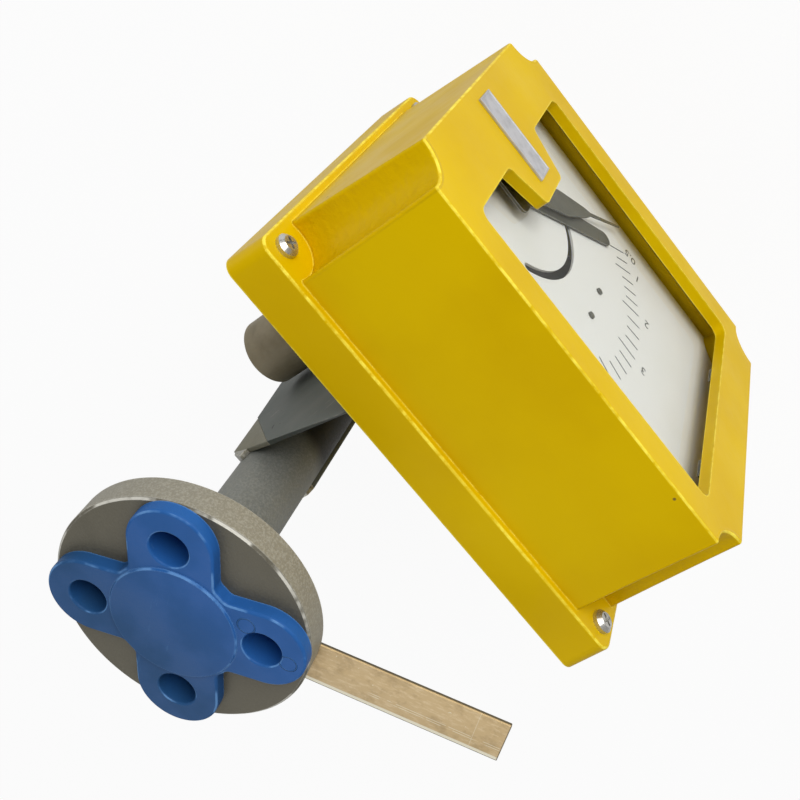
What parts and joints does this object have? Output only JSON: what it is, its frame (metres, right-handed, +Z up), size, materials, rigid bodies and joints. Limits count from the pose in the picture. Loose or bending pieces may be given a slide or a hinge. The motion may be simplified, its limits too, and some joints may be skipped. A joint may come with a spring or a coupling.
{
  "type": "flow meter",
  "caption": "Variable area flow meter: upright metal tube with pipe flanges and a square dial housing held beside it on a folded bracket.",
  "frame": {"origin": "centre of the bottom flange's raised face", "axes": "+Z up along the meter tube, the dial faces -Y, +X to the right of a reader of the dial"},
  "size_m": [0.1788, 0.1823, 0.254],
  "materials": {
    "cover_paint": "yellow stoving paint on a casting",
    "flange_steel": "turned, dull",
    "tube_steel": "grey, speckled",
    "strip_steel": "rolled, scratched",
    "cap_plastic": "moulded",
    "bracket_paint": "grey paint on sheet",
    "lug_steel": "bare plate",
    "can_steel": "drawn can",
    "inner_steel": "machined",
    "screw_steel": "zinc plated",
    "brass_parts": "turned",
    "magnet": "sintered",
    "seal_rubber": "moulded",
    "glass": "clear",
    "nameplate_metal": "satin, blank",
    "dial_paint": "white enamel",
    "pointer_metal": "dark grey",
    "plate_metal": "sheet"
  },
  "bodies": {
    "meter": {"bottom_flange": "flange_steel", "top_flange": "flange_steel", "metering_tube": "tube_steel", "flange_welds": "tube_steel", "tag_strip": "strip_steel", "lower_guide": "inner_steel", "upper_guide": "inner_steel", "tapered_liner": "inner_steel", "tube_lugs": "lug_steel", "tack_welds": "lug_steel", "mounting_bracket": "bracket_paint", "bracket_screws": "screw_steel", "back_tray": "cover_paint", "housing_cover": "cover_paint", "cover_seal": "seal_rubber", "cover_screws": "screw_steel", "nameplate": "nameplate_metal", "window_glass": "glass", "window_seal": "seal_rubber", "glass_clips": "inner_steel", "dial_plate": "dial_paint", "dial_screws": "pointer_metal", "dial_spacers": "brass_parts", "movement_plate": "plate_metal", "movement_posts": "brass_parts", "post_nuts": "brass_parts", "pivot_sleeve": "brass_parts", "front_bridge": "plate_metal", "arm_washer": "inner_steel", "magnet_can": "can_steel", "can_screws": "screw_steel", "rear_bush": "brass_parts"},
    "float": {"float_body": "inner_steel", "float_magnet": "magnet", "float_plug": "inner_steel"},
    "indicator": {"pointer_shaft": "inner_steel", "pointer": "pointer_metal", "counterweight": "brass_parts", "follower_magnet": "magnet", "magnet_holder": "brass_parts"},
    "setting_arm": {"setting_arm": "pointer_metal"},
    "flange_cap": {"flange_cap": "cap_plastic"}
  },
  "joints": [
    {"name": "float_slide", "type": "slide", "parent": "meter", "child": "float", "axis": [0, 0, 1], "range_m": [0, 0.05]},
    {"name": "pointer_hinge", "type": "hinge", "parent": "meter", "child": "indicator", "pos_m": [0.0313, 0, 0.125], "axis": [0, 1, 0], "range_deg": [0, 95]},
    {"name": "setting_arm_hinge", "type": "hinge", "parent": "meter", "child": "setting_arm", "pos_m": [0.0313, 0, 0.125], "axis": [0, 1, 0], "range_deg": [-10, 95]},
    {"name": "cap_slide", "type": "slide", "parent": "meter", "child": "flange_cap", "axis": [0, 0, 1], "range_m": [0, 0.03]}
  ],
  "couplings": [
    {"joint": "pointer_hinge", "follows": "float_slide", "rad_per_m": 33.16}
  ]
}
